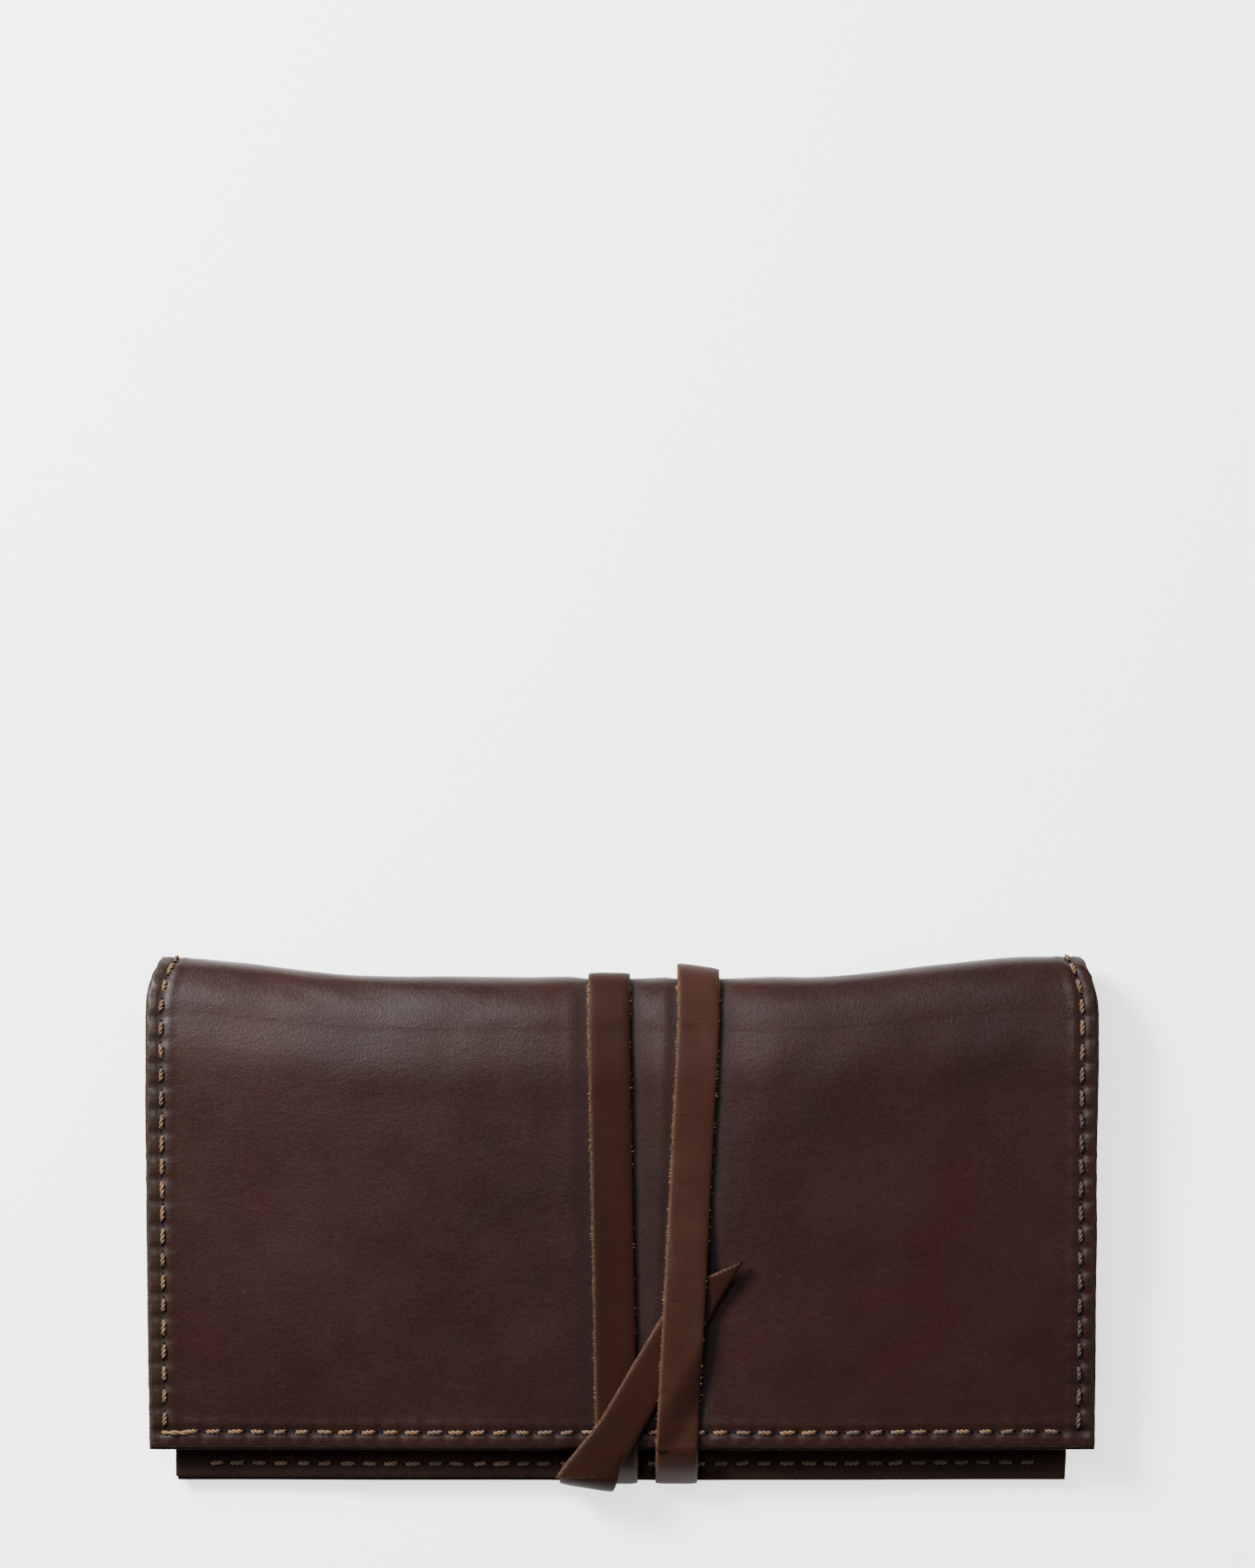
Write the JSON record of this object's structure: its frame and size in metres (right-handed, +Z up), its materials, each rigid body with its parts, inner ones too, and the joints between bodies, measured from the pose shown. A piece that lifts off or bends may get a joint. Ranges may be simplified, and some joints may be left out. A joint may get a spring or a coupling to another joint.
{
  "type": "brush roll case",
  "caption": "Folded leather brush case, closed: lined cover with sewn brush channels inside, held shut by a wrapped leather strap with a tucked pointed tail.",
  "frame": {"origin": "centre of the bounding box in X and Y, at the plane that the closed case lies on", "axes": "+X along the fold to the right, +Y towards the fold, +Z up through the closed case"},
  "size_m": [0.28, 0.1596, 0.0257],
  "materials": {
    "cover_leather": "dark brown vegetable-tanned leather, softly waxed, raw cut edges",
    "lining_leather": "mid-brown suede side of a thin leather",
    "strap_leather": "red-brown oiled leather strap with paler raw edges",
    "thread": "twisted golden-tan waxed thread"
  },
  "bodies": {
    "case": {"cover_back": "cover_leather", "cover_fold": "cover_leather", "lining_back": "lining_leather", "lining_fold": "lining_leather", "brush_pocket": "lining_leather", "pocket_seam_stitching": "thread", "back_edge_stitching": "thread", "fold_edge_stitching": "thread", "strap_anchor_end": "strap_leather", "strap_anchor_stitching": "thread", "strap_bottom_bend_a": "strap_leather", "strap_top_bend_a": "strap_leather", "strap_back_run_a": "strap_leather", "strap_bottom_bend_b": "strap_leather", "strap_top_bend_b": "strap_leather", "strap_back_run_b": "strap_leather", "strap_bottom_bend_tail": "strap_leather"},
    "flap": {"cover_flap": "cover_leather", "lining_flap": "lining_leather", "flap_edge_stitching": "thread", "strap_front_run_a": "strap_leather", "strap_front_run_b": "strap_leather"},
    "tail": {"strap_tail": "strap_leather"}
  },
  "joints": [
    {"name": "flap_open", "type": "hinge", "parent": "case", "child": "flap", "pos_m": [0, 0.071, 0.013], "axis": [-1, 0, 0], "range_deg": [0, 180], "deforming": ["cover_fold", "lining_fold", "fold_edge_stitching", "strap_top_bend_a", "strap_top_bend_b", "strap_bottom_bend_a", "strap_bottom_bend_b", "strap_bottom_bend_tail"]},
    {"name": "tail_pull", "type": "slide", "parent": "flap", "child": "tail", "axis": [-0.509, -0.8597, -0.0431], "range_m": [0, 0.055]}
  ]
}
